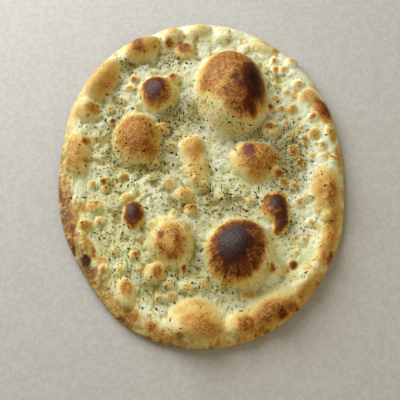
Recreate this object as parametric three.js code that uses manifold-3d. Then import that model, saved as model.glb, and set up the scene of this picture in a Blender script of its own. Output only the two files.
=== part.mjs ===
// An oval, hand-stretched focaccia baked in a hot oven: thin dough, a puffed rim, large
// bubbles, small blisters and dried herb flakes stuck to the top. It is one solid.
// Millimetres, +Z up. The origin is under the middle of the loaf, on the surface that it
// rests on, and +Y runs along the oval.

import * as THREE from "three";
import { mergeVertices } from "three/addons/utils/BufferGeometryUtils.js";
import Module from "manifold-3d";

// Driving dimensions of the loaf
const WIDTH = 262; // across the oval, along X
const LENGTH = 321; // along the oval, along Y
const DOUGH = 9; // thickness of the dough between the bubbles
const SQUARENESS = 2.12; // 2 makes the outline an ellipse, and more makes it fuller at its corners
const RIM_RISE = 4.5; // how far the rim's crest stands above the dough
const RIM_CREST = 13; // from the outer edge in to the crest
const RIM_SPREAD = 18; // half the width of the swell under the crest
const EDGE_HEIGHT = 5.5; // height of the outermost line of the crust
const EDGE_ROUND = 13; // from the outer edge in to where the rim's top is full height
const UNDERCUT = 12; // from the outer edge in to where the underside lies flat
const MEET = 4; // how sharply neighbouring bubbles meet: larger is sharper
const FILLET = 30; // how sharply a bubble's foot meets the dough: larger is sharper

// Waves of the outline: direction in degrees, half width in degrees, and depth, which is
// less than 0 where the rim bulges
const PINCHES = [
  { angle: 62, half: 18, depth: 2.2 },
  { angle: 99, half: 3.5, depth: 1.5 },
  { angle: 109, half: 4.5, depth: 3 },
  { angle: 128, half: 12, depth: -1.5 },
  { angle: 151, half: 9, depth: -2.6 },
  { angle: 225, half: 17, depth: 4.6 },
  { angle: 335, half: 10, depth: -1.6 },
];

// Bubbles and rim puffs. at is the middle of the foot, half its half axes, turn the
// direction of the first axis in degrees, and rise the height above the dough. A foot of
// 0.5 makes a round dome with a steep foot, and 1.5 a soft swell.
const BUBBLES = [
  // Large domes
  { at: [29, 79], half: [33, 44.5], turn: 6, rise: 33.5, foot: 0.5 },
  { at: [34, -78.5], half: [29.5, 31], turn: 0, rise: 29.5, foot: 0.52 },
  { at: [51, -97], half: [22, 19], turn: 25, rise: 9, foot: 1 },
  { at: [-60, 31.5], half: [22, 27], turn: 0, rise: 19.5, foot: 0.62 },
  { at: [-27, -68], half: [21, 26], turn: 8, rise: 16, foot: 0.75 },
  { at: [-40, 79], half: [18.5, 19], turn: 0, rise: 16.5, foot: 0.6 },
  { at: [49.5, 9], half: [24, 20.5], turn: -10, rise: 15.5, foot: 0.7 },
  { at: [-8, 21], half: [12.5, 15.5], turn: 2, rise: 11.5, foot: 0.75 },
  { at: [-5, 4], half: [13, 29], turn: 6, rise: 9.5, foot: 0.85 },
  { at: [67, -37], half: [12.5, 14], turn: 0, rise: 11, foot: 0.6 },
  { at: [71.5, -48], half: [8, 15], turn: -13, rise: 8.5, foot: 0.7 },
  { at: [-60, -43.5], half: [9.5, 13.5], turn: 0, rise: 9, foot: 0.6 },
  // Puffs of the rim, round from the north by the west
  { at: [-1, 150], half: [14, 10], turn: 0, rise: 6, foot: 0.9 },
  { at: [-28, 143], half: [10, 12], turn: 0, rise: 7, foot: 0.8 },
  { at: [-15, 127], half: [10, 10], turn: 0, rise: 7, foot: 0.7 },
  { at: [-58, 128], half: [19, 14], turn: 25, rise: 11, foot: 0.7 },
  { at: [-97, 93], half: [28, 15], turn: 57, rise: 11, foot: 0.7 },
  { at: [-109, 61], half: [11, 13], turn: 10, rise: 8, foot: 0.8 },
  { at: [-113, 15], half: [12, 24], turn: 4, rise: 8, foot: 0.8 },
  { at: [-104, -75], half: [8, 20], turn: 12, rise: 5, foot: 0.9 },
  { at: [-64, -115], half: [9, 16], turn: 8, rise: 7, foot: 0.8 },
  { at: [-6, -142.5], half: [25.5, 24], turn: 0, rise: 14, foot: 0.8 },
  { at: [34, -143], half: [14, 14], turn: 10, rise: 7, foot: 0.9 },
  { at: [64, -126], half: [27, 19], turn: 27, rise: 9, foot: 0.95 },
  { at: [92, -106], half: [22, 17], turn: 38, rise: 7.5, foot: 1.1 },
  { at: [108, -82], half: [12, 26], turn: -24, rise: 6, foot: 1.2 },
  { at: [112, -19], half: [19, 32], turn: -3, rise: 9.5, foot: 1.2 },
  { at: [103, 74], half: [12, 11], turn: 0, rise: 6, foot: 1 },
  { at: [116, 60], half: [10, 19], turn: 22, rise: 6, foot: 1 },
  { at: [60, 130], half: [15, 9], turn: -25, rise: 4, foot: 0.9 },
  { at: [27, 146], half: [16, 10], turn: -8, rise: 3, foot: 1.1 },
  // Middling bubbles on the dough
  { at: [-40, -97], half: [10, 10], turn: 0, rise: 8.5, foot: 0.7 },
  { at: [-15, -24.5], half: [10.5, 8.5], turn: 0, rise: 6.4, foot: 0.75 },
  { at: [-9, -39], half: [6.5, 6.5], turn: 0, rise: 6, foot: 0.65 },
  { at: [66, 42], half: [9.5, 10], turn: 0, rise: 7, foot: 0.75 },
  { at: [-37, 43], half: [8, 6.5], turn: -20, rise: 6, foot: 0.75 },
  { at: [-27, 95], half: [8, 6], turn: 0, rise: 6, foot: 0.75 },
  { at: [-66, -28], half: [7.5, 6], turn: 20, rise: 5.5, foot: 0.8 },
  { at: [-95, -35], half: [7.5, 6.5], turn: -35, rise: 5.5, foot: 0.75 },
  { at: [-102, -54], half: [7, 7], turn: 0, rise: 5.5, foot: 0.75 },
  { at: [-60, -80], half: [5, 5], turn: 0, rise: 4.8, foot: 0.75 },
  { at: [-71, -6], half: [6, 4.5], turn: 0, rise: 4.4, foot: 0.8 },
  { at: [80, -89], half: [5, 5], turn: 0, rise: 4.5, foot: 0.7 },
  { at: [106, 36], half: [5, 6], turn: 0, rise: 5, foot: 0.7 },
  { at: [87, 64], half: [4.5, 5.5], turn: 0, rise: 4.5, foot: 0.7 },
  { at: [86, 21], half: [6, 6.5], turn: 0, rise: 4.5, foot: 0.8 },
];

// Small blisters, spread over the dough by a low-discrepancy rule
const BLISTERS = 150;
const BLISTER_RADIUS = [3.5, 6.5];
const BLISTER_RISE = [1.2, 2.6];
const BLISTER_REACH = 0.95; // share of the way to the edge

// Herb flakes, spread by the same rule
const FLAKES = 100;
const FLAKE_LENGTH = [2.2, 4.4];
const FLAKE_WIDTH_SHARE = 0.34; // of its length
const FLAKE_THICKNESS = 0.8;
const FLAKE_SINK = 0.12; // how far its middle lies under the crust
const FLAKE_TILT = 0.28; // largest lean out of the crust, in radians
const FLAKE_REACH = 0.93; // share of the way to the edge

// Fineness of the faceted solid
const GRID = 62; // cells along each side of the top's grid
const EDGE_CROWD = 0.3; // how far the grid's rings crowd towards the edge
const LARGE_RISE = 6.5; // bubbles that rise this far draw the grid to their foot
const FOOT_CROWD = 0.75; // how far the grid crowds towards the foot of such a bubble
const FOOT_SNAP = 2; // corners this near to the foot lie on it
const FOOT_HOLD = 24; // from the outer edge in to where that crowding is full
const UNDER_RINGS = 3; // rings of facets round the undercut

// Colour and finish of the baked dough
const CRUST = { color: 0xd9b877, roughness: 0.75, metalness: 0 };

const radians = THREE.MathUtils.degToRad;
const lerp = THREE.MathUtils.lerp;
const smoothstep = THREE.MathUtils.smoothstep;
const UP = new THREE.Vector3(0, 0, 1);
const DOWN = new THREE.Vector3(0, 0, -1);

// The n-th number of an evenly spread sequence from 0 to 1 with the given step.
function spread(n, step) {
  return (0.5 + n * step) % 1;
}
const SPREAD_STEPS = [0.7548776662466927, 0.5698402909980532]; // for even points in a square
const SIZE_STEP = 0.6180339887498949; // for even sizes
const TURN_STEP = 0.4142135623730951; // for even directions

// Distance from the middle of the loaf to its edge, in the direction of an angle.
function edgeRadius(angle) {
  const across = Math.abs(Math.cos(angle) / (WIDTH / 2)) ** SQUARENESS;
  const along = Math.abs(Math.sin(angle) / (LENGTH / 2)) ** SQUARENESS;
  let radius = (across + along) ** (-1 / SQUARENESS);
  for (const pinch of PINCHES) {
    const turn = angle - radians(pinch.angle);
    const away = Math.atan2(Math.sin(turn), Math.cos(turn));
    radius -= pinch.depth * Math.exp(-((away / radians(pinch.half)) ** 2));
  }
  return radius;
}

// A point of the loaf's plan at a share of the way from the middle to the edge.
function planPoint(angle, share) {
  const radius = share * edgeRadius(angle);
  return [radius * Math.cos(angle), radius * Math.sin(angle)];
}

// The n-th evenly spread point of the plan, out to a share of the way to the edge.
function spreadPoint(n, reach) {
  const [angleStep, areaStep] = SPREAD_STEPS;
  return planPoint(2 * Math.PI * spread(n, angleStep), reach * Math.sqrt(spread(n, areaStep)));
}

// Distance from the edge of the loaf in to a point of the plan.
function insetOf(x, y) {
  return Math.max(0, edgeRadius(Math.atan2(y, x)) - Math.hypot(x, y));
}

// Distance from the middle of a bubble's foot, 1 on the line of the foot.
function awayFrom(x, y, { at, half, turn }) {
  const dx = x - at[0];
  const dy = y - at[1];
  const cos = Math.cos(radians(turn));
  const sin = Math.sin(radians(turn));
  return Math.hypot((dx * cos + dy * sin) / half[0], (dy * cos - dx * sin) / half[1]);
}

// Height of a bubble: 1 at its middle, and it runs out in a fillet round its foot.
function dome(x, y, bubble) {
  const away = awayFrom(x, y, bubble);
  const held = away / (1 + away ** FILLET) ** (1 / FILLET);
  return Math.max(0, 1 - held ** 2) ** bubble.foot;
}

const blisters = Array.from({ length: BLISTERS }, (_, n) => {
  const radius = lerp(...BLISTER_RADIUS, spread(n, SIZE_STEP) ** 2);
  const rise = lerp(...BLISTER_RISE, spread(n, TURN_STEP));
  return { at: spreadPoint(n, BLISTER_REACH), half: [radius, radius], turn: 0, rise, foot: 1 };
});
const swells = [...BUBBLES, ...blisters];

// How far the bubbles lift the crust at a point. Where they overlap, the higher one shows.
function bubbleRise(x, y) {
  let sum = 0;
  for (const swell of swells) sum += (swell.rise * dome(x, y, swell)) ** MEET;
  return sum ** (1 / MEET);
}

// Height of the crust's top at a point of the plan.
function topHeight(x, y) {
  const inset = insetOf(x, y);
  const rim = RIM_RISE * Math.max(0, 1 - ((inset - RIM_CREST) / RIM_SPREAD) ** 2) ** 2;
  const full = DOUGH + rim + bubbleRise(x, y);
  const round = Math.sqrt(1 - (1 - Math.min(1, inset / EDGE_ROUND)) ** 2);
  return EDGE_HEIGHT + (full - EDGE_HEIGHT) * round;
}

// A point of the grid, moved onto the foot of a large bubble when it is near to it, and towards
// the foot when it is inside, because the crust is steepest there.
function drawnToFeet(x, y) {
  for (const bubble of BUBBLES) {
    if (bubble.rise < LARGE_RISE) continue;
    const away = awayFrom(x, y, bubble);
    const snap = FOOT_SNAP / Math.min(...bubble.half);
    let pulled = away;
    if (Math.abs(away - 1) < snap) pulled = 1;
    else if (away < 1) pulled = lerp(away, Math.sin((away * Math.PI) / 2), FOOT_CROWD);
    const hold = smoothstep(insetOf(x, y), 0, FOOT_HOLD);
    const factor = away > 0 ? lerp(1, pulled / away, hold) : 1;
    x = bubble.at[0] + (x - bubble.at[0]) * factor;
    y = bubble.at[1] + (y - bubble.at[1]) * factor;
  }
  return [x, y];
}

// The oval's point for a point of a square from -1 to 1. The square's rings become rings.
function ovalPoint(across, up) {
  const ring = Math.max(Math.abs(across), Math.abs(up));
  if (ring === 0) return [0, 0];
  const eighth = Math.PI / 4;
  const angle =
    Math.abs(across) >= Math.abs(up)
      ? eighth * (up / across) + (across < 0 ? Math.PI : 0)
      : 2 * eighth - eighth * (across / up) + (up < 0 ? Math.PI : 0);
  return planPoint(angle, lerp(ring, Math.sin(2 * eighth * ring), EDGE_CROWD));
}

// Two triangles for each cell of the grid, split along the shorter diagonal.
function gridFaces(points) {
  const row = GRID + 1;
  const corner = (i) => new THREE.Vector3().fromArray(points, 3 * i);
  const faces = [];
  for (let i = 0; i < GRID; i++) {
    for (let j = 0; j < GRID; j++) {
      const a = i * row + j;
      const b = a + row;
      const c = b + 1;
      const d = a + 1;
      if (corner(a).distanceTo(corner(c)) < corner(b).distanceTo(corner(d))) {
        faces.push(a, b, c, a, c, d);
      } else {
        faces.push(a, b, d, b, c, d);
      }
    }
  }
  return faces;
}

// The closed loaf: a square grid drawn out to the oval for the top, then rings round the
// undercut and a flat underside.
function loafGeometry() {
  const plan = new THREE.PlaneGeometry(2, 2, GRID, GRID).getAttribute("position");
  const points = [];
  for (let i = 0; i < plan.count; i++) {
    const [x, y] = drawnToFeet(...ovalPoint(plan.getX(i), plan.getY(i)));
    points.push(x, y, topHeight(x, y));
  }
  const faces = gridFaces(points);

  // The grid's border, anticlockwise seen from above, from its first corner
  const row = GRID + 1;
  let loop = [];
  for (let i = 0; i < GRID; i++) loop.push(i * row);
  for (let i = 0; i < GRID; i++) loop.push(GRID * row + i);
  for (let i = GRID; i > 0; i--) loop.push(i * row + GRID);
  for (let i = GRID; i > 0; i--) loop.push(i);

  for (let ring = 1; ring <= UNDER_RINGS; ring++) {
    const turn = (ring / UNDER_RINGS) * (Math.PI / 2);
    const next = loop.map((_, i) => points.length / 3 + i);
    for (const corner of loop) {
      const angle = Math.atan2(points[3 * corner + 1], points[3 * corner]);
      const radius = edgeRadius(angle) - UNDERCUT * (1 - Math.cos(turn));
      points.push(radius * Math.cos(angle), radius * Math.sin(angle), EDGE_HEIGHT * (1 - Math.sin(turn)));
    }
    loop.forEach((a, i) => {
      const j = (i + 1) % loop.length;
      faces.push(a, next[i], loop[j], loop[j], next[i], next[j]);
    });
    loop = next;
  }
  const middle = points.length / 3;
  points.push(0, 0, 0);
  loop.forEach((a, i) => faces.push(a, middle, loop[(i + 1) % loop.length]));

  const geometry = new THREE.BufferGeometry();
  geometry.setAttribute("position", new THREE.Float32BufferAttribute(points, 3));
  geometry.setIndex(faces);
  return geometry;
}

// The n-th herb flake: a thin pointed chip that lies on the loaf's crust, a little sunk in.
function flakeGeometry(n, loaf) {
  const above = new THREE.Vector3(...spreadPoint(n + BLISTERS, FLAKE_REACH), LENGTH);
  const [crust] = new THREE.Raycaster(above, DOWN).intersectObject(loaf);
  const lie = new THREE.Quaternion().setFromUnitVectors(UP, crust.face.normal);
  const tilt = FLAKE_TILT * (2 * spread(n, SIZE_STEP) - 1);
  const yaw = 2 * Math.PI * spread(n, TURN_STEP);
  const turn = new THREE.Quaternion().setFromEuler(new THREE.Euler(0, tilt, yaw, "ZYX"));
  const place = crust.point.addScaledVector(crust.face.normal, -FLAKE_SINK);
  const length = lerp(...FLAKE_LENGTH, spread(n, SIZE_STEP) ** 2);
  const size = new THREE.Vector3(length, length * FLAKE_WIDTH_SHARE, FLAKE_THICKNESS).divideScalar(2);
  return new THREE.OctahedronGeometry(1).applyMatrix4(
    new THREE.Matrix4().compose(place, lie.multiply(turn), size),
  );
}

const wasm = await Module();
wasm.setup();

function toSolid(geometry) {
  const bare = geometry.clone();
  bare.deleteAttribute("normal");
  bare.deleteAttribute("uv");
  const merged = mergeVertices(bare);
  return new wasm.Manifold(
    new wasm.Mesh({
      numProp: 3,
      vertProperties: merged.getAttribute("position").array,
      triVerts: new Uint32Array(merged.index.array),
    }),
  );
}

function toGeometry(solid) {
  const mesh = solid.getMesh();
  const geometry = new THREE.BufferGeometry();
  geometry.setAttribute("position", new THREE.BufferAttribute(mesh.vertProperties, mesh.numProp));
  geometry.setIndex(new THREE.BufferAttribute(mesh.triVerts, 1));
  geometry.computeVertexNormals();
  return geometry;
}

const bareLoaf = new THREE.Mesh(loafGeometry());
let solid = toSolid(bareLoaf.geometry);
for (let n = 0; n < FLAKES; n++) solid = solid.add(toSolid(flakeGeometry(n, bareLoaf)));

const focaccia = new THREE.Mesh(toGeometry(solid), new THREE.MeshStandardMaterial(CRUST));
focaccia.name = "focaccia";

const part = new THREE.Group();
part.add(focaccia);

export default part;
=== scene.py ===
"""An oval, hand-stretched focaccia from a hot oven: thin pale dough, a puffed golden rim, large
browned bubbles, small blisters and dried herb flakes. The crust is one mesh, and the herbs lie on
it as two kinds of flake. The loaf's tables are in millimetres, and the meshes are in metres."""

import math

import bmesh
import bpy
import numpy as np
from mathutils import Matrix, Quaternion, Vector
from mathutils.bvhtree import BVHTree


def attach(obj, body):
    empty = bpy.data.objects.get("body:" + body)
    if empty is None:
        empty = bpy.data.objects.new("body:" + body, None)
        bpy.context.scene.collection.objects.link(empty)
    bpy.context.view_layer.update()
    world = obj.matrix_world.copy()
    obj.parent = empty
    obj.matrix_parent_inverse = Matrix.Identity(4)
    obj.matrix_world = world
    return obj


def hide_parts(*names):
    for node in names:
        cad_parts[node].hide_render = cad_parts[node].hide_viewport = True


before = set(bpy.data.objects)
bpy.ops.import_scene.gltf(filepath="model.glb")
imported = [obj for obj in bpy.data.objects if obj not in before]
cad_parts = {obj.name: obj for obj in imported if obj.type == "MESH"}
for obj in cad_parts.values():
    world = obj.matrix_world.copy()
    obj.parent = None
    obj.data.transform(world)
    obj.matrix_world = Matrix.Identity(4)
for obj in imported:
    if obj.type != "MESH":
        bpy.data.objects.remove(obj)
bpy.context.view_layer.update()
MM = 0.001

# Driving dimensions of the loaf, in millimetres
WIDTH = 262  # across the oval, along X
LENGTH = 321  # along the oval, along Y
DOUGH = 9  # thickness of the dough between the bubbles
SQUARENESS = 2.12  # 2 makes the outline an ellipse, and more makes it fuller at its corners
RIM_RISE = 4.5  # how far the rim's crest stands above the dough
RIM_CREST = 13  # from the outer edge in to the crest
RIM_SPREAD = 18  # half the width of the swell under the crest
EDGE_HEIGHT = 5.5  # height of the outermost line of the crust
EDGE_ROUND = 13  # from the outer edge in to where the rim's top is full height
UNDERCUT = 12  # from the outer edge in to where the underside lies flat
MEET = 4  # how sharply neighbouring bubbles meet: larger is sharper
FILLET = 30  # how sharply a bubble's foot meets the dough: larger is sharper

# Waves of the outline: direction in degrees, half width in degrees, depth (less than 0 bulges)
PINCHES = [
    (62, 18, 2.2),
    (99, 3.5, 1.5),
    (109, 4.5, 3.0),
    (128, 12, -1.5),
    (151, 9, -2.6),
    (225, 17, 4.6),
    (335, 10, -1.6),
]

# Bubbles and rim puffs: x, y, half axes, turn in degrees, rise above the dough, and foot, where
# 0.5 makes a round dome with a steep foot and 1.5 a soft swell
BUBBLES = [
    # Large domes
    (29, 79, 33, 44.5, 6, 33.5, 0.5),
    (34, -78.5, 29.5, 31, 0, 29.5, 0.52),
    (51, -97, 22, 19, 25, 9, 1.0),
    (-60, 31.5, 22, 27, 0, 19.5, 0.62),
    (-27, -68, 21, 26, 8, 16, 0.75),
    (-40, 79, 18.5, 19, 0, 16.5, 0.6),
    (49.5, 9, 24, 20.5, -10, 15.5, 0.7),
    (-8, 21, 12.5, 15.5, 2, 11.5, 0.75),
    (-5, 4, 13, 29, 6, 9.5, 0.85),
    (67, -37, 12.5, 14, 0, 11, 0.6),
    (71.5, -48, 8, 15, -13, 8.5, 0.7),
    (-60, -43.5, 9.5, 13.5, 0, 9, 0.6),
    # Puffs of the rim, round from the north by the west
    (-1, 150, 14, 10, 0, 6, 0.9),
    (-28, 143, 10, 12, 0, 7, 0.8),
    (-15, 127, 10, 10, 0, 7, 0.7),
    (-58, 128, 19, 14, 25, 11, 0.7),
    (-97, 93, 28, 15, 57, 11, 0.7),
    (-109, 61, 11, 13, 10, 8, 0.8),
    (-113, 15, 12, 24, 4, 8, 0.8),
    (-104, -75, 8, 20, 12, 5, 0.9),
    (-64, -115, 9, 16, 8, 7, 0.8),
    (-6, -142.5, 25.5, 24, 0, 14, 0.8),
    (34, -143, 14, 14, 10, 7, 0.9),
    (64, -126, 27, 19, 27, 9, 0.95),
    (92, -106, 22, 17, 38, 7.5, 1.1),
    (108, -82, 12, 26, -24, 6, 1.2),
    (112, -19, 19, 32, -3, 9.5, 1.2),
    (103, 74, 12, 11, 0, 6, 1.0),
    (116, 60, 10, 19, 22, 6, 1.0),
    (60, 130, 15, 9, -25, 4, 0.9),
    (27, 146, 16, 10, -8, 3, 1.1),
    # Middling bubbles on the dough
    (-40, -97, 10, 10, 0, 8.5, 0.7),
    (-15, -24.5, 10.5, 8.5, 0, 6.4, 0.75),
    (-9, -39, 6.5, 6.5, 0, 6, 0.65),
    (66, 42, 9.5, 10, 0, 7, 0.75),
    (-37, 43, 8, 6.5, -20, 6, 0.75),
    (-27, 95, 8, 6, 0, 6, 0.75),
    (-66, -28, 7.5, 6, 20, 5.5, 0.8),
    (-95, -35, 7.5, 6.5, -35, 5.5, 0.75),
    (-102, -54, 7, 7, 0, 5.5, 0.75),
    (-60, -80, 5, 5, 0, 4.8, 0.75),
    (-71, -6, 6, 4.5, 0, 4.4, 0.8),
    (80, -89, 5, 5, 0, 4.5, 0.7),
    (106, 36, 5, 6, 0, 5, 0.7),
    (87, 64, 4.5, 5.5, 0, 4.5, 0.7),
    (86, 21, 6, 6.5, 0, 4.5, 0.8),
]
LARGE_RISE = 6.5  # bubbles that rise this far draw the grid to their foot
SKIN_RISE = 3.2  # bubbles that rise this far have a smooth skin
SOFT_SKIN = 0.55  # how smooth the soft swells are
SKIN_CALM = 0.82  # how far a smooth skin hides the dough's bumps

# Bubbles, blisters and patches are ellipses, and a distance from the middle of one is 1 on its
# line. Pairs named EDGE, BAND or RANGE are where something begins and where it is full: an EDGE is
# such a distance, a BAND lies in from the loaf's outer edge, and a RANGE is of another value.
SKIN_EDGE = 1.16  # where a smooth skin ends
SKIN_FADE = 0.18  # how far it fades there
SOFT_FOOT = 0.6  # on a softer foot than this it fades further,
SOFT_FADE = 0.6  # by this share of the difference

# Small blisters with toasted tips: x, y, half axes, toast of the tip from 0 to 1
BLISTERS = [
    # North-west
    (-65, 95, 4, 4, 0.56),
    (-68, 84, 5, 5, 0.42),
    (-83, 50, 4, 4, 0.7),
    (-86, 62, 4, 4, 0.3),
    (-27, 95, 5, 4, 0.57),
    (-75, 72, 4, 4, 0.3),
    # West and south-west
    (-89, -11, 4.5, 4.5, 0.64),
    (-98, -14, 4, 4, 0.4),
    (-87, -18, 3.5, 3.5, 0.46),
    (-45, -6, 3.6, 4, 0.32),
    (-29, -12, 5.5, 6.5, 0.34),
    (-5, -12, 3, 4, 0.5),
    (-41, 6, 3.5, 3.5, 0.45),
    (-28, 25, 4.5, 5, 0.4),
    (-24, -42, 4, 4, 0.4),
    (-44, -53, 4, 4, 0.36),
    (-90, -49, 4, 4, 0.32),
    (-112, -33, 3, 6, 0.36),
    (-53, -93, 3, 5, 0.34),
    (-70, -93, 4.5, 5, 0.27),
    (-76, -77, 3.5, 3.5, 0.35),
    (-84, -96, 4, 6, 0.46),
    (-28, -107, 5.5, 6, 0.26),
    (-26, -116, 4, 4, 0.34),
    (-11, -109, 6, 5.5, 0.26),
    (-15, -93, 3.5, 5, 0.63),
    (-36, -118, 4, 3.5, 0.42),
    (2, -105, 5.5, 7, 0.24),
    # East
    (96, 31, 3.5, 5, 0.5),
    (83, 33, 5, 4, 0.4),
    (91, 8, 4, 6, 0.54),
    (112, 24, 3.5, 5, 0.4),
    (122, 10, 4, 4, 0.46),
    (120, 38, 4, 6, 0.42),
    (103, 14, 4, 4, 0.3),
    (110, 11, 4.5, 4, 0.16),
    (71, -4, 6, 5, 0.56),
    (75, -12, 5.5, 4.5, 0.5),
    (84, -15, 4, 4, 0.42),
    (88, -31, 3.5, 4, 0.4),
    (95, -27, 5, 3.5, 0.24),
    (45, -30, 4, 4, 0.3),
    (19, -24, 5, 8, 0.2),
    (3, -16, 3.5, 4, 0.4),
    (98, -50, 4, 3.5, 0.34),
    (112, -46, 4, 4, 0.34),
    (91, -66, 2.8, 2.8, 0.38),
    (84, -78, 3, 3, 0.3),
    (61, -94, 4, 5, 0.56),
    # North-east
    (72, 104, 4, 4, 0.5),
    (79, 103, 4, 4, 0.37),
    (71, 113, 3, 4, 0.46),
    (71, 87, 4, 4, 0.27),
    (93, 87, 5, 4.5, 0.36),
    (82, 81, 3.5, 3.5, 0.32),
    (71, 73, 4.5, 4.5, 0.3),
    (66, 64, 4, 4.5, 0.6),
    (76, 62, 4.5, 5, 0.42),
    (105, 53, 4, 4, 0.58),
    (80, 47, 3.5, 4, 0.44),
    (88, 113, 5, 5, 0.28),
    (45, 127, 5, 4, 0.27),
    (21, 138, 7, 5, 0.14),
]
BLISTER_RISE = 0.85  # share of the smaller half axis
BLISTER_FOOT = 1.45  # where the blister ends
BLISTER_ROUND = 0.9  # 0.5 makes a round dome, and more a softer one
CLEAR_EDGE = (0.9, 1.6)  # of the dough's own relief, which gives way to a blister
BLISTER_EDGE = (1.3, 0.1)  # of its toast
BLISTER_BROWN = 1.14  # how far its toast goes beyond the table's

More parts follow.
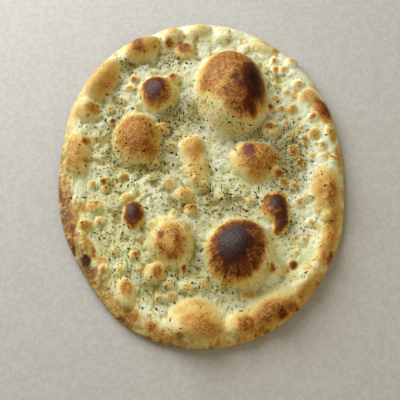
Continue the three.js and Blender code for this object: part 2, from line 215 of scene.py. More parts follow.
# Browned patches of the crust: x, y, half axes, turn, toast from 0 to 1, softness of the edge
BROWNING = [
    # North dome
    (28, 93, 28, 26, 0, 0.55, 0.35),
    (36, 66, 19, 22, 0, 0.57, 0.4),
    (18, 70, 12, 22, 48, 0.47, 0.7),
    (36, 76, 17, 25, 15, 0.66, 0.7),
    (48, 80, 14, 28, 8, 0.84, 0.6),
    (49, 81, 11, 19, 8, 0.94, 0.8),
    (16, 97, 8, 8, 0, 0.6, 0.8),
    (9, 85, 6, 8, 30, 0.57, 0.8),
    (31, 79, 8, 8, 0, 0.77, 0.8),
    (8, 82, 12, 15, 0, 0.55, 0.6),
    (44, 56, 10, 12, 0, 0.76, 0.6),
    # South dome
    (31.3, -78, 22.9, 26.8, -20, 0.7, 0.2),
    (29.5, -75.5, 19.5, 23.5, -20, 0.84, 0.4),
    (29, -75.5, 16.5, 19, -12, 1.0, 0.55),
    # Painted shade: faint tan on the skirt below the south dome
    (38, -104, 20, 8, 10, 0.27, 1.0),
    # West dome
    (-58.5, 31, 20.5, 22.5, 0, 0.5, 0.4),
    (-49, 20, 12, 13, 0, 0.57, 0.8),
    # North-west dome
    (-42.5, 80, 14, 18, 0, 0.58, 0.3),
    (-43.5, 81, 14, 16.5, 0, 0.8, 0.5),
    # East dome
    (52, 10, 20, 17, -10, 0.5, 0.4),
    (44, 16, 10, 12, 0, 0.74, 0.8),
    (45, 8, 9, 14, 0, 0.62, 0.9),
    (62, 8, 10, 11, 0, 0.52, 0.7),
    (50, -4, 15, 9, -10, 0.45, 0.9),
    # Middle ridge
    (-7.5, 21, 12, 13, 0, 0.41, 0.6),
    (-6, 9, 8, 10, 0, 0.41, 0.9),
    (-2, -14, 9, 10, 0, 0.18, 0.9),
    (-5, -1, 10, 20, 6, 0.31, 0.9),
    # Comma-shaped bubble and its tail
    (66, -34.5, 12, 12.5, 0, 0.6, 0.35),
    (68.6, -32.8, 10.2, 13, 0, 0.88, 0.65),
    (71.5, -47.5, 6.6, 12.5, -13, 0.79, 0.5),
    (68.5, -57, 4.8, 6.5, -18, 0.73, 0.6),
    # Small west dome
    (-60, -42.5, 8.7, 12, 0, 0.7, 0.3),
    (-60, -42, 8.3, 12, 0, 0.84, 0.6),
    (-67, -27, 5, 4, 20, 0.38, 0.6),
    # South-west dome
    (-27, -55, 7, 5, 0, 0.3, 0.8),
    (-26, -70.5, 14, 17.5, 8, 0.49, 0.4),
    (-34, -65, 7, 7, 0, 0.66, 0.8),
    (-20.5, -71, 5.5, 10, 0, 0.62, 0.8),
    (-25, -83, 8, 6, 0, 0.58, 0.8),
    (-12.5, -57, 4, 7, 0, 0.34, 0.7),
    # South puff of the rim
    (-1, -141, 24, 20, 0, 0.48, 1.0),
    (-16, -130, 14, 12, 0, 0.3, 1.0),
    (-3, -123, 18, 6, -4, 0.37, 1.0),
    (6, -145, 18, 14, 0, 0.5, 1.0),
    (-13, -140, 9, 9, 0, 0.4, 1.0),
    (-18, -152, 5, 4, 0, 0.5, 0.7),
    # South-east roll
    (60, -132, 30, 13, 24, 0.52, 0.75),
    (58, -126, 14, 7, 27, 0.5, 0.8),
    (68, -133, 8, 6, 27, 0.7, 0.8),
    (77, -127, 9, 5, 27, 0.54, 0.8),
    (40, -115, 7, 3.5, 20, 0.4, 0.6),
    (38, -141, 13, 12, 10, 0.6, 0.9),
    (91, -112, 20, 9, 40, 0.39, 0.7),
    # South-east and east rim
    (113, -84, 7, 10, -20, 0.6, 0.8),
    (108, -76, 6.5, 19, -18, 0.42, 0.7),
    (116, -58, 10, 36, -14, 0.46, 0.9),
    (111, -20, 14, 26, -4, 0.44, 0.9),
    (116, -25, 10, 20, -6, 0.54, 0.9),
    (122, 36, 5, 13, 8, 0.37, 0.7),
    (127, 14, 4, 16, 0, 0.42, 0.7),
    (101, 74, 9, 9, 0, 0.38, 0.7),
    (115, 60, 9, 15, 25, 0.62, 0.6),
    (110, 88, 7, 10, 30, 0.25, 0.7),
    # North rim
    (-1, 150, 12, 7, 0, 0.26, 0.9),
    (24, 148, 10, 6, -6, 0.18, 0.9),
    (38, 146, 10, 6, 0, 0.08, 0.7),
    (62, 134, 11, 6, -25, 0.3, 0.9),
    (74, 126, 5, 9, -30, 0.4, 0.9),
    (-28, 146, 9, 7, 0, 0.3, 0.9),
    (-31, 134, 5, 5.5, 0, 0.57, 0.7),
    (-17, 128, 7.5, 7.5, 0, 0.66, 0.6),
    # North-west and west rim
    (-57, 129, 18, 13, 25, 0.36, 0.5),
    (-61, 127, 10, 12, 0, 0.62, 0.8),
    (-66, 139, 9, 4.5, 40, 0.74, 0.8),
    (-96, 93, 25, 13, 57, 0.32, 0.5),
    (-90, 88, 23, 8, 57, 0.42, 0.8),
    (-116, 57, 7, 10, 0, 0.32, 0.8),
    (-102, 61, 8, 7.5, 0, 0.46, 0.8),
    (-107, 28, 5, 7, 0, 0.62, 0.8),
    (-116, 15, 11, 23, 4, 0.4, 0.7),
    (-120, 8, 7, 13, 0, 0.46, 0.8),
    (-106, 8, 5, 5, 0, 0.46, 0.8),
    # South-west rim
    (-126, -25, 7, 11, 0, 0.56, 0.9),
    (-123, -12, 7, 17, 5, 0.3, 0.8),
    (-116, -50, 9, 36, 16, 0.45, 0.9),
    (-121, -40, 8, 12, 15, 0.5, 0.9),
    (-115, -57, 8, 8, 0, 0.6, 0.9),
    (-112, -75, 4, 8, 20, 0.82, 0.9),
    (-100, -87, 5, 6.5, 0, 0.9, 0.8),
    (-101, -70, 3.5, 12, 12, 0.4, 0.7),
    (-94, -78, 3, 9, 12, 0.55, 0.7),
    (-96, -98, 7, 7, 0, 0.52, 0.7),
    (-84, -111, 11, 12, 30, 0.26, 0.7),
    (-74, -125, 11, 8, -40, 0.34, 0.8),
    (-64, -111, 6, 10, 8, 0.46, 0.6),
    (-59, -133, 13, 8, -35, 0.42, 0.8),
    (-42, -143, 7, 6, 0, 0.52, 0.8),
    (-30, -152, 15, 5, -12, 0.38, 0.7),
    # Tips of the middling bubbles
    (-38, -95, 7, 7, 0, 0.58, 0.8),
    (-14, -22, 8, 6, 0, 0.42, 0.8),
    (-9, -36, 5.5, 5.5, 0, 0.52, 0.6),
    (64, 43, 6, 5, 0, 0.66, 0.8),
    (-37, 43, 7, 6, 0, 0.38, 0.5),
    (-96, -33, 6, 6, -25, 0.5, 0.8),
    (-102, -54, 6, 6, 0, 0.47, 0.7),
    (-58, -79, 4, 4, 0, 0.52, 0.8),
    (-71, -6, 5, 4, 0, 0.47, 0.8),
    (80, -88.5, 4, 4.8, 0, 0.74, 0.7),
    (105, 36, 4.5, 5.5, 0, 0.52, 0.8),
    (86, 63, 4, 5, 0, 0.5, 0.8),
    (85, 20, 4, 6, 0, 0.52, 0.7),
]
PATCH_EDGE = 1.35  # where a browned patch begins
PATCH_FADE = 0.3  # how far it fades there, and by its softness further
HALO = 0.26  # faint gold round the browned patches
HALO_EDGE = (1.42, 0.82)
HALO_RANGE = (0.35, 0.55)  # of the patch's toast
# Paler streaks across the browned domes: x, y, half axes, turn, how far the toast is less
PALE_STREAKS = [
    (20, 77, 3, 9, -35, 0.1),
    (27, 88, 3, 7, 20, 0.08),
    (-28, -70, 4, 11, 10, 0.13),
]
PALE_EDGE = (1.5, 0.5)
# Wide areas with fine uneven gold: x, y, half axes, turn, toast
MOTTLED = [
    (107, -52, 14, 34, -12, 0.34),
    (98, -92, 17, 13, 40, 0.36),
    (-86, -104, 14, 20, 30, 0.22),
    (106, 38, 13, 26, 10, 0.22),
]
MOTTLED_EDGE = (1.25, 0.55)
# Domes whose brown runs out in streaks: x, y, half axes, how far the toast varies
STREAKED = [
    (31, -78, 24, 28, 0.16),
    (-27, -70, 16, 20, 0.1),
    (36, 78, 28, 36, 0.08),
    (51, 9, 22, 19, 0.07),
]
INNER_EDGE = (0.4, 0.8)  # of the streaks, from the middle outwards
OUTER_EDGE = (1.3, 1.0)  # and from outside inwards
STREAKED_WIDTH = 2.2
STREAKED_DRAW = 4  # less draws them out longer
STREAKED_LAYER = 4.9

# Toast of the rim and of what the tables leave out
RIM_TOAST = (0.12, 0.5)  # the rim's own gold at its outermost line, where least and where most
RIM_GOLD = (13, 22)  # from the outer edge in to where the rim's own gold ends, likewise
RIM_EVEN = 0.85  # the rim's gold without its patches
HOT_SIDE = 250  # direction in degrees in which the rim's own gold is strongest
CHAR_SIDE = 203  # direction in degrees in which the rim is charred most
CHAR_FOCUS = 8  # larger makes that side narrower
CHAR_COVERS = 0.4  # how far char takes the place of the rim's own gold
RIM_CHAR = (0.12, 0.5)  # toast of the rim's fine char, where least and where most
CHAR_BAND = (19, 9)
SKIN_TOAST = 0.18  # of the large bubbles' skin
TIP_SHARE = 0.1  # of the dough's bumps that have a toasted tip
TIP_RANGE = (0.1, 0.8)  # of such a bump's height
TIP_TOAST = (0.16, 0.36)  # in the middle of the loaf and near the edge
TIP_BAND = (64, 20)
UNDER_TOAST = 0.52  # of the flat underside
UNDER_TILT = -0.3  # a normal that points down more than this is on the underside

# Unevenness of the toast: size, layer and weight. Layers only make the patterns differ.
RIM_PATCHES = [(15, 2.2, 0.5), (6, 2.8, 0.45), (3, 2.5, 0.25)]
CHAR_PATCHES = [(9, 2.9, 1), (4, 6.4, 0.5)]
CHAR_RANGE = (-0.9, 0.7)  # of those patches
GOLD_PATCHES = [(6, 5.2, 1), (2.8, 5.9, 0.8)]  # in the mottled areas
GOLD_RANGE = (-0.6, 1.1)  # likewise
UNDER_PATCHES = [(11, 6.1, 0.16), (3.5, 6.7, 0.1)]
RAGGED = [(8, 1.1, 2.2), (3, 4.4, 1.2)]  # edges of patches and blisters, in millimetres
RAGGED_OVER = 4  # added to a patch's larger half axis to find how much that is of its size
BLISTER_OVER = 8  # that sum for a blister

# Relief of the dough between the bubbles, in millimetres
BUMPS = [
    # spacing, height
    (14.0, 1.6),
    (7.6, 1.5),
    (4.4, 0.75),
]
BUMP_RADIUS = (0.5, 0.95)  # smallest and largest, as shares of the spacing
BUMP_HEIGHT = (0.25, 1.0)  # lowest and tallest, as shares of the height
BUMP_MEAN = 0.85  # of their height, over wide areas
BUMP_VARIES = 0.5  # how far that differs from area to area
BUMP_AREA = 3  # spacings across such an area
BEND = (7.0, 2.0, (8.2, 8.6))  # wander that makes the bumps uneven: size, reach, two layers
WARP = (24, 1.8, (3.3, 7.7))  # wander that makes the domes uneven, likewise
SWELLS = [(9.0, 12, 0.5)]  # soft swells under the bumps: size, layer, height
GRAIN = [(2.6, 5.5, 0.16)]  # finest unevenness, likewise
SKIN_GRAIN = 0.3  # share of it on a smooth skin
CREST = 1.9  # height of a bump with a full pale crest
PIT_SHARE = 0.6  # how deep the pits between the bumps are
RIM_BUMPS = 0.4  # share of the bumps' height on the rim
RIM_BAND = (4, 22)  # of their full height
EDGE_BAND = (0, 6)  # of the bumps and the grain
CREASE = ((38, -118), (92, -102))  # ends of the fold behind the south-east roll
CREASE_HALF = 1.6
CREASE_DEPTH = 1.3
CREASE_FADE = 8  # from each end
CREASE_WAVE = (1.5, 9)  # reach of its bends, and length of a radian of them

# Dough pulled into strands behind the south-west rim
PULL_RANGES = ((172, 184), (268, 228))  # of direction in degrees, from its two ends
PULL_BANDS = ((5, 10), (48, 32))  # from its two sides
PULL_FLAT = 0.6  # how far it flattens the bumps
STRETCH = 0.4  # height of the stretch marks there
STRETCH_MARKS = (90, 40, 2.2, 9.1)  # direction in degrees, length, width, layer
STRETCH_SHADE = -0.25  # most that a mark's groove darkens the dough, as painted shade
STRETCH_TOAST = 0.1  # how far the marks vary a browned rim's toast
STRETCH_RANGE = (0, 0.3)  # of that toast
STREAK_BEND = 1.5  # how far stretch marks and scratches wander

# Light scratches on the south dome
SCRATCHED = (47, -76, 12, 20)  # x, y, half axes
SCRATCH_EDGE = (1.1, 0.8)
SCRATCH_MARKS = (-62, 22, 2.4, 3.9)  # direction in degrees, length, width, layer
SCRATCH_RANGE = (0.25, 0.65)  # of the marks
SCRATCH_TOAST = 0.3  # how far the toast is less

# Paler areas of the dough: x, y, half axes, weight
TONES = [
    (92, -48, 20, 26, 0.3),
    (94, -82, 20, 16, 0.12),
    (80, 95, 22, 30, 0.12),
    (10, 132, 40, 14, 0.08),
]
# Areas with taller bumps, likewise
LUMPY = [
    (94, -60, 20, 30, 0.25),
    (12, -30, 34, 20, 0.2),
    (75, 105, 26, 30, 0.5),
    (0, 122, 45, 14, 0.5),
]
# Warmer areas, likewise
WARMTH = [
    (-85, -20, 45, 60, 0.45),
    (-78, -66, 26, 34, 0.4),
    (-55, -95, 45, 40, 0.35),
    (92, -85, 35, 28, 0.7),
    (10, -118, 45, 18, 0.35),
    (46, -8, 18, 14, 0.35),
]
TONE_BASE = 0.04  # how far all the dough is paler
PAINTED_LIGHT_ALONG = 0.15  # painted light: how much paler the north edge is than the south edge
PAINTED_LIGHT_ACROSS = 0.42  # painted light: how much paler the east edge is than the west edge
TONE_LIMIT = 1.3  # paleness at which paler areas add nothing
HOLLOW_TONE = 0.5  # tone at which a hollow no longer shows

# Drifts of herbs in the valleys: x, y, half axes, weight
HERB_DRIFTS = [
    (-22, 55, 20, 16, 1.0),
    (-35, 25, 9, 28, 0.9),
    (44, 38, 24, 8, 1.0),
    (79, 13, 14, 24, 2.2),
    (-3, -6, 10, 14, 0.5),
    (-52, 2, 16, 8, 0.7),
    (-20, -33, 18, 10, 0.5),
    (-42, -106, 16, 12, 0.8),
    (20, -30, 24, 16, 0.6),
    (78, -54, 8, 12, 0.8),
    (14, -109, 15, 7, 0.42),
    (-6, -92, 9, 12, 0.5),
    (-73, 112, 10, 10, 1.0),
    (-32, 118, 14, 10, 0.6),
    (-80, 30, 10, 44, 0.9),
    (66, 84, 8, 18, 0.25),
    (0, 62, 8, 16, 0.8),
    (-75, -60, 20, 26, 0.26),
]
HERB_BASE = 0.07  # density away from the drifts
HERB_ON_DOME = 0.5  # share that stays on the domes
BARE_RANGE = (0.45, 0.65)  # of toast, for crust without herbs
HERB_BAND = (4, 26)
HERB_SEED = 11
LEAF = [(-0.5, 0.05), (-0.22, -0.44), (0.2, -0.5), (0.5, -0.08), (0.24, 0.46), (-0.18, 0.5)]
FLAKE_REACH = 0.93  # share of the way to the edge
FLAKE_THICKNESS = 0.16  # share of its length
FLAKE_THINNEST = 0.25
FLAKE_LIFT = 0.35  # share of its thickness from the crust to its middle
FLAKE_TILT = 0.3  # largest lean out of the crust, in radians
BIG_FLAKES = 100
BIG_AFTER = 150  # the big flakes' place in the spread sequence
BIG_LENGTH = (2.2, 4.4)
BIG_WIDTH = 0.34  # share of its length
BIG_FOLD = 0.4  # how far its sides hang down
SMALL_FLAKES = {"dark": 900, "olive": 2800}
SMALL_LENGTH = {"dark": (1.2, 3.8), "olive": (0.9, 2.6)}
SMALL_WIDTH = (0.28, 0.5)  # shares of its length
SMALL_FOLD = 0.2  # largest, as a share of its length
SMALL_TRIES = 30  # draws for each flake that is kept

# Even sequences from 0 to 1, and numbers that leave no pattern in a grid
SPREAD_STEPS = (0.7548776662466927, 0.5698402909980532)
SIZE_STEP = 0.6180339887498949
TURN_STEP = 0.4142135623730951
SCRAMBLE_STEPS = (127.1, 311.7, 74.7)
SCRAMBLE_GAIN = 43758.5453
FIELD_GAIN = 1.6  # brings unevenness to about -1 to 1

# Fineness of the crust's mesh
GRID = 288  # cells along each side of the top's grid
EDGE_CROWD = 0.3  # how far the grid's rings crowd towards the edge
FOOT_CROWD = 0.75  # how far the grid crowds towards the steep foot of a large dome
FOOT_HOLD = 24  # from the outer edge in to where that crowding is full
UNDER_RINGS = 7  # rings of faces round the undercut
FLAT_RINGS = (0.8, 0.5, 0.2)  # rings of the underside, as shares of its size
HOLLOW_REACH = 220  # rounds of smoothing that make the neighbourhood of a hollow
HOLLOW_DEPTH = 3.5  # millimetres below the neighbourhood of a full hollow

# Colours, as 8-bit display values
CREAM = (242, 248, 221)  # palest dough
STRAW = (231, 233, 176)  # yellower dough
CLEFT_SHADE = (154, 134, 38)  # in the pits between the dough's bumps: painted shade, and yellower dough
HERB_STAIN_AND_SHADE = (140, 127, 56)  # under the herbs, and in hollows, where it is partly oil-soaked dough and partly painted shade
TOASTED = [  # crust, by its toast
    (0.0, (230, 227, 170)),
    (0.2, (226, 204, 126)),
    (0.32, (218, 178, 94)),
    (0.45, (198, 142, 58)),
    (0.56, (164, 102, 26)),
    (0.67, (126, 62, 4)),
    (0.77, (92, 38, 2)),
    (0.87, (64, 24, 5)),
    (1.0, (46, 17, 9)),
]
ASH = (112, 88, 64)  # on the charred rim
BURNT_SPECK = (46, 26, 10)
HERB_SPECK = (128, 106, 24)
DARK_HERB = [(0.0, (50, 46, 10)), (0.6, (86, 76, 14)), (1.0, (118, 98, 20))]
OLIVE_HERB = [(0.0, (104, 96, 22)), (0.5, (138, 122, 34)), (1.0, (160, 136, 54))]
FLOOR_TONES = ((192, 191, 188), (200, 199, 196))

# Patterns of the crust: scale in waves for each metre, and detail
DRIFT = (70.0, 3.0)
CLOUD = (130.0, 2.0)
MOTTLE = (260.0, 3.0)
CRUMB = (620.0, 2.0)
STRAND = (520.0, 2.0)
STRAND_SHAPE = (1.0, 0.09, 0.4)  # drawn out along Y
GRIT_SCALE = 680.0
DOTS = {"Scale": 330.0, "Radius": 0.3, "Share": 0.45}  # burnt dots on the browned skin
PORES = {"Scale": 620.0, "Radius": 0.5, "Share": 0.4}  # finer ones
FLECKS = {"Scale": 520.0, "Radius": 0.55}  # herb dust
FLECK_SHARE = (0.55, 0.06)  # of cells with dust: for each part of herb density, and everywhere
DOT_SIZES = (0.7, 0.3)  # how far dots differ in size, and the smallest
DOT_EDGE = 0.1  # how soft their line is
FINER_GRIT = 2.1  # scale of the grit's second size

# How the patterns colour the crust. Pairs are ranges.
COLOURED = (0.04, 0.6)  # toast, for mottling
BURNT = (0.58, 0.8)  # toast, for calmer mottling
BURNT_CALM = 0.35
CLOUD_BROWN = 0.2
GRIT_BROWN = 0.34
STRAND_BROWN = 0.15
STRAND_PALE = 2.8
YELLOW_DRIFT = (0.36, 0.64)
GRIT_YELLOW = 0.4
# Painted shade in the pits between the bumps, and gritty dust spots in the same colour:
CLEFT_MOTTLE = 0.5
CLEFT_RANGE = (0.4, 0.05)  # paleness
CLEFT_GRIT = (0.55, 0.95)
GRIT_DARK = 0.45
CLEFT_DARK = 0.82
DUST_STAIN = 0.6
# how strongly hollows take the herb colour: painted shade, with some oil-soaked dough
HOLLOW_STAIN_AND_SHADE = 0.32
CRUST_RANGE = (0.05, 0.25)  # toast, from dough to crust
ASH_CLOUD = (0.75, 1.25)
ASH_PALE = 0.85
PORE_DARK = 0.6
DOT_TOAST = (0.3, 0.62)
DOT_DARK = 0.85
FLECK_TOAST = (0.5, 0.3)
FLECK_DARK = 0.7

# Surface of the crust, of the herbs and of the floor
CRUST_DULL = (0.75, 0.52)  # roughness of pale dough and of burnt crust
CRUST_SHINE = 0.5
CALM_TOAST = (0.4, 0.85)  # toast at which fine relief begins to be calmer and is calmest
CALM_SHARES = (1.0, 0.25)  # how much of it shows there
STRAND_BUMP = 2.2
CRUST_BUMP = {"Strength": 0.65, "Distance": 0.001}
GLOW = {  # of light inside the dough
    "Subsurface Weight": 0.32,
    "Subsurface Radius": (1.0, 0.8, 0.45),
    "Subsurface Scale": 0.0022,
}
HERB_GRIT = 1500.0
HERB_UNEVEN = 0.3
HERB_BUMP = {"Strength": 0.4, "Distance": 0.0003}
FLOOR_GRIT = 260.0
FLOOR_RANGE = (0.4, 0.6)
FLOOR_SHINE = 0.2
DRY = 0.9  # roughness of herbs and floor

# Camera, lights and floor, in metres and degrees. Lights: place, size, watts, colour.
CAMERA_TARGET = Vector((-0.001, -0.025, 0))
CAMERA_DISTANCE = 0.612
CAMERA_ELEVATION = 70
CAMERA_LENS = 60  # millimetres
CAMERA_SENSOR = 36  # millimetres
WINDOW = ((-0.6, 0.66, 0.63), 1.0, 16.4, (0.98, 0.99, 1.0))
FILL = ((1.1, -0.8, 0.7), 1.4, 6.5, (1.0, 0.85, 0.54))
ROOM_COLOUR = (1.0, 0.9, 0.64, 1)
ROOM_STRENGTH = 0.2
FLOOR_HALF = 3


# Numbers and patterns


def spread(n, step):
    """The n-th number of an evenly spread sequence from 0 to 1."""
    return (0.5 + n * step) % 1


def between(ends, share):
    """The value at a share of the way from one end to the other."""
    return ends[0] + (ends[1] - ends[0]) * share


def smooth(value, start=0, full=1):
    """A soft step: 0 at start and 1 at full, which may be the smaller number."""
    share = np.clip((value - start) / (full - start), 0, 1)
    return share * share * (3 - 2 * share)


def away_from(x, y, at_x, at_y, half_x, half_y, turn=0):
    """Distance from the middle of an ellipse, 1 on its line."""
    cos = math.cos(math.radians(turn))
    sin = math.sin(math.radians(turn))
    dx = x - at_x
    dy = y - at_y
    return np.hypot((dx * cos + dy * sin) / half_x, (dy * cos - dx * sin) / half_y)


def shares_of(x, y, areas):
    """Sum of the soft areas' weights at points."""
    total = np.zeros_like(x)
    for *ellipse, weight in areas:
        total += weight * np.exp(-(away_from(x, y, *ellipse) ** 2))
    return total


def scramble(column, row, layer):
    """A number from 0 to 1 for each cell of a grid, without any pattern."""
    across, up, deep = SCRAMBLE_STEPS
    return (np.sin(column * across + row * up + layer * deep) * SCRAMBLE_GAIN) % 1


def field(x, y, size, layer):
    """Smooth unevenness of a size, about -1 to 1. Layers differ."""
    column = np.floor(x / size)
    row = np.floor(y / size)
    total = np.zeros_like(x)
    for across in (0, 1):
        for up in (0, 1):
            turn = 2 * math.pi * scramble(column + across, row + up, layer)
            dx = x / size - column - across
            dy = y / size - row - up
            slope = np.cos(turn) * dx + np.sin(turn) * dy
            total += slope * smooth(1 - np.abs(dx)) * smooth(1 - np.abs(dy))
    return FIELD_GAIN * total


def fields(x, y, rows):
    """Sum of unevenness of several sizes. Each row is (size, layer, weight)."""
    return sum(weight * field(x, y, size, layer) for size, layer, weight in rows)


def moved(x, y, size, reach, layers):
    """Points moved a little, so that forms drawn at them are less regular."""
    return tuple(at + reach * field(x, y, size, layer) for at, layer in zip((x, y), layers))


def streaks(x, y, turn, length, width, layer):
    """Long thin ridges along a direction, about -1 to 1."""
    cos = math.cos(math.radians(turn))
    sin = math.sin(math.radians(turn))
    beside = y * cos - x * sin + STREAK_BEND * field(x, y, length, layer + 0.3)
    return field(beside, (x * cos + y * sin) * width / length, width, layer)


def bumps(x, y, spacing, layer):
    """Round bumps of mixed size: their height from 0 to 1, and a number for each bump."""
    column = np.floor(x / spacing)
    row = np.floor(y / spacing)
    height = np.zeros_like(x)
    label = np.zeros_like(x)
    for across in (-1, 0, 1):
        for up in (-1, 0, 1):
            # Each draw for a cell has a layer of its own
            cell = (column + across, row + up)
            at_x = cell[0] + scramble(*cell, layer)
            at_y = cell[1] + scramble(*cell, layer + 0.5)
            radius = between(BUMP_RADIUS, scramble(*cell, layer + 0.25))
            tall = between(BUMP_HEIGHT, scramble(*cell, layer + 0.75))
            rise = tall * smooth(1 - np.hypot(x / spacing - at_x, y / spacing - at_y) / radius)
            label = np.where(rise > height, scramble(*cell, layer + 0.9), label)
            height = np.maximum(height, rise)
    return height, label


# The loaf's form


def edge_radius(angle):
    """Distance from the middle of the loaf to its edge, in the direction of an angle."""
    across = np.abs(np.cos(angle) / (WIDTH / 2)) ** SQUARENESS
    along = np.abs(np.sin(angle) / (LENGTH / 2)) ** SQUARENESS
    radius = (across + along) ** (-1 / SQUARENESS)
    for direction, half, depth in PINCHES:
        turn = np.angle(np.exp(1j * (angle - np.radians(direction))))
        radius = radius - depth * np.exp(-((turn / np.radians(half)) ** 2))
    return radius


def inset_of(x, y):
    """Distance in from the loaf's edge."""
    return np.clip(edge_radius(np.arctan2(y, x)) - np.hypot(x, y), 0, None)


def plan_of_square(across, up):
    """The plan's points for points of a square from -1 to 1: its rings become rings of the oval."""
    ring = np.maximum(np.abs(across), np.abs(up))
    safe = np.where(ring > 0, ring, 1)
    wide = np.abs(across) >= np.abs(up)
    eighth = math.pi / 4
    side = eighth * up / np.where(wide, np.where(across == 0, 1, across), 1)
    side = side + np.where(across < 0, math.pi, 0)
    top = 2 * eighth - eighth * across / np.where(wide, 1, np.where(up == 0, 1, up))
    top = top + np.where(up < 0, math.pi, 0)
    angle = np.where(wide, side, top)
    share = between((safe, np.sin(safe * math.pi / 2)), EDGE_CROWD)
    radius = np.where(ring > 0, share, 0) * edge_radius(angle)
    return radius * np.cos(angle), radius * np.sin(angle)


def crowd_at_feet(x, y):
    """Draws points inside the large domes out towards the foot, where the crust is steepest."""
    for at_x, at_y, *shape, rise, _ in BUBBLES:
        if rise < LARGE_RISE:
            continue
        away = away_from(x, y, at_x, at_y, *shape)
        inside = np.clip(away, 1e-6, 1)  # never 0, because it divides
        drawn = between((inside, np.sin(inside * math.pi / 2)), FOOT_CROWD)
        hold = smooth(inset_of(x, y), 0, FOOT_HOLD)
        factor = 1 + hold * (np.where(away < 1, drawn / inside, 1) - 1)
        x = at_x + (x - at_x) * factor
        y = at_y + (y - at_y) * factor
    return x, y


def dome(away, foot):
    """Height of a dome: 1 at its middle, and it runs out in a fillet round its foot."""
    held = away / (1 + away**FILLET) ** (1 / FILLET)
    return np.clip(1 - held**2, 0, None) ** foot


def bubble_rise(x, y):
    """How far the bubbles lift the crust. Where they overlap, the higher one shows."""
    total = np.zeros_like(x)
    for *ellipse, rise, foot in BUBBLES:
        total += (rise * dome(away_from(x, y, *ellipse), foot)) ** MEET
    return total ** (1 / MEET)


def top_height(x, y):
    """Height of the crust's top at points of the plan."""
    inset = inset_of(x, y)
    rim = RIM_RISE * np.clip(1 - ((inset - RIM_CREST) / RIM_SPREAD) ** 2, 0, None) ** 2
    full = DOUGH + rim + bubble_rise(*moved(x, y, *WARP))
    rounded = np.sqrt(1 - (1 - np.clip(inset / EDGE_ROUND, 0, 1)) ** 2)
    return EDGE_HEIGHT + (full - EDGE_HEIGHT) * rounded


def dome_cover(x, y):
    """1 on the smooth skin of the large bubbles and 0 on the dough between them."""
    cover = np.zeros_like(x)
    for *ellipse, rise, foot in BUBBLES:
        if rise >= SKIN_RISE:
            fade = SKIN_FADE + SOFT_FADE * max(foot - SOFT_FOOT, 0)
            firm = 1 if foot < 1 else SOFT_SKIN
            skin = smooth(away_from(x, y, *ellipse), SKIN_EDGE, SKIN_EDGE - fade)
            cover = np.maximum(cover, firm * skin)
    return cover


def dough_bumps(x, y):
    """Height of the bumps all over the dough, and where they have a toasted tip, from 0 to 1."""
    bent = moved(x, y, *BEND)
    total = np.zeros_like(x)
    tips = np.zeros_like(x)
    for layer, (spacing, height) in enumerate(BUMPS):
        bump, label = bumps(*bent, spacing, layer)
        share = BUMP_MEAN + BUMP_VARIES * field(x, y, BUMP_AREA * spacing, layer)
        total += height * share * bump
        tips = np.maximum(tips, (label > 1 - TIP_SHARE) * smooth(bump, *TIP_RANGE))
    return total, tips


def pulled(x, y):
    """1 where the dough was pulled into strands behind the south-west rim, and 0 elsewhere."""
    angle = np.degrees(np.arctan2(y, x)) % 360
    inset = inset_of(x, y)
    first, last = PULL_RANGES
    outer, inner = PULL_BANDS
    where = smooth(angle, *first) * smooth(angle, *last)
    return where * smooth(inset, *outer) * smooth(inset, *inner)


def stretch_marks(x, y):
    """Long ridges of the pulled dough, about -1 to 1."""
    return pulled(x, y) * streaks(x, y, *STRETCH_MARKS)


def crease(x, y):
    """The fold in the dough behind the south-east roll."""
    (x0, y0), (x1, y1) = CREASE
    reach, radian = CREASE_WAVE
    length = math.hypot(x1 - x0, y1 - y0)
    along = ((x - x0) * (x1 - x0) + (y - y0) * (y1 - y0)) / length
    beside = ((y - y0) * (x1 - x0) - (x - x0) * (y1 - y0)) / length + reach * np.sin(along / radian)
    ends = smooth(along, 0, CREASE_FADE) * smooth(along, length, length - CREASE_FADE)
    return -CREASE_DEPTH * ends * np.exp(-((beside / CREASE_HALF) ** 2))


def bumpiness(x, y):
    """How far the dough's bumps show. They are lower on the rim and where the dough was pulled."""
    inset = inset_of(x, y)
    inner = between((RIM_BUMPS, 1), smooth(inset, *RIM_BAND)) * smooth(inset, *EDGE_BAND)
    return inner * (1 - PULL_FLAT * pulled(x, y)) * (1 + shares_of(x, y, LUMPY))


def relief(x, y, rough):
    """Fine relief on the crust, out along its normal. rough is the height of the dough's bumps."""
    bumpy = bumpiness(x, y) * (1 - SKIN_CALM * dome_cover(x, y))
    total = bumpy * (rough - CREST / 2 + fields(x, y, SWELLS))
    total = np.where(total < 0, PIT_SHARE * total, total)
    grain = fields(x, y, GRAIN) * between((SKIN_GRAIN, 1), bumpy)
    total += grain * smooth(inset_of(x, y), *EDGE_BAND)
    for *ellipse, _ in BLISTERS:
        away = away_from(x, y, *ellipse)
        rise = np.clip(1 - (away / BLISTER_FOOT) ** 2, 0, None) ** BLISTER_ROUND
        total = total * smooth(away, *CLEAR_EDGE) + BLISTER_RISE * min(ellipse[2:]) * rise
    return total + crease(x, y) + STRETCH * stretch_marks(x, y)


# Browning, tone and herbs


def facing(x, y, direction):
    """1 in a direction from the middle of the loaf, falling to 0 on the far side."""
    return (1 + np.cos(np.arctan2(y, x) - math.radians(direction))) / 2


def char_share(x, y):
    """1 on the side on which the rim is charred most, falling to 0 away from it."""
    return facing(x, y, CHAR_SIDE) ** CHAR_FOCUS


